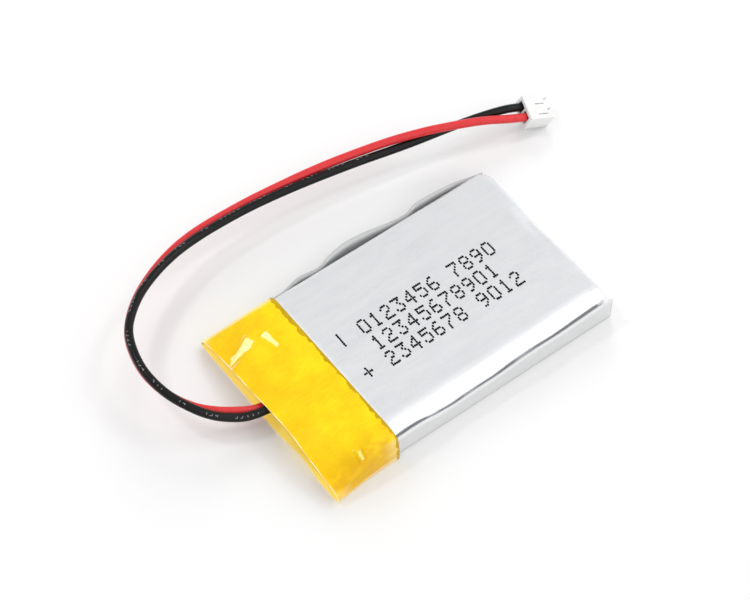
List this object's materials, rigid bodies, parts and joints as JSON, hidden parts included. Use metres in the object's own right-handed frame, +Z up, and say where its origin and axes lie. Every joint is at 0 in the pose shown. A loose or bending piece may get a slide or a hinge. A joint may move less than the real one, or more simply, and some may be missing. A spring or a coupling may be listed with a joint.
{
  "type": "lithium polymer battery pack",
  "caption": "Flat foil pouch cell with a board under an amber tape band at one end and a pair of flexible leads to a small white plug.",
  "frame": {"origin": "middle of the underside of the pack, without its leads and plug", "axes": "+X from the taped end to the folded foot, +Y across the pack towards the side where the leads run, +Z up out of the printed face"},
  "size_m": [0.0874, 0.0529, 0.009],
  "materials": {
    "pouch_foil": "satin nylon-faced aluminium laminate",
    "anode_coating": "matt graphite on copper foil",
    "cathode_coating": "matt oxide on aluminium foil",
    "separator_film": "matt porous film",
    "green_tape": "glossy film tape",
    "tab_aluminium": "bright rolled strip",
    "nickel": "bright nickel strip",
    "seal_film": "clear yellowish melt film",
    "pad_foam": "dense foam pad",
    "board_laminate": "green solder resist on glass laminate",
    "chip_resin": "matt moulded resin",
    "capacitor_ceramic": "matt fired ceramic",
    "solder": "bright solder",
    "amber_tape": "glossy translucent amber film",
    "red_insulation": "soft satin plastic",
    "black_insulation": "soft satin plastic with small white print dashes",
    "tinned_copper": "tinned twisted strands",
    "plug_nylon": "satin moulded nylon",
    "contact_tin": "tin-plated sheet metal"
  },
  "bodies": {
    "root": {"pouch_cup": "pouch_foil", "pouch_cover": "pouch_foil", "anode_foil": "anode_coating", "cathode_foil": "cathode_coating", "separator_inner": "separator_film", "separator_outer": "separator_film", "roll_end_tape": "green_tape", "positive_tab": "tab_aluminium", "negative_tab": "nickel", "positive_tab_film": "seal_film", "negative_tab_film": "seal_film", "insulation_pad": "pad_foam", "board": "board_laminate", "protection_ic": "chip_resin", "dual_mosfet": "chip_resin", "resistor_a": "chip_resin", "resistor_b": "chip_resin", "capacitor": "capacitor_ceramic", "positive_strip": "nickel", "negative_strip": "nickel", "solder_red": "solder", "solder_black": "solder", "tape_wrap": "amber_tape", "red_lead": "red_insulation", "black_lead": "black_insulation", "red_strands_board": "tinned_copper", "black_strands_board": "tinned_copper", "red_strands_plug": "tinned_copper", "black_strands_plug": "tinned_copper", "plug_housing": "plug_nylon", "crimp_contact_red": "contact_tin", "crimp_contact_black": "contact_tin"}
  },
  "joints": []
}
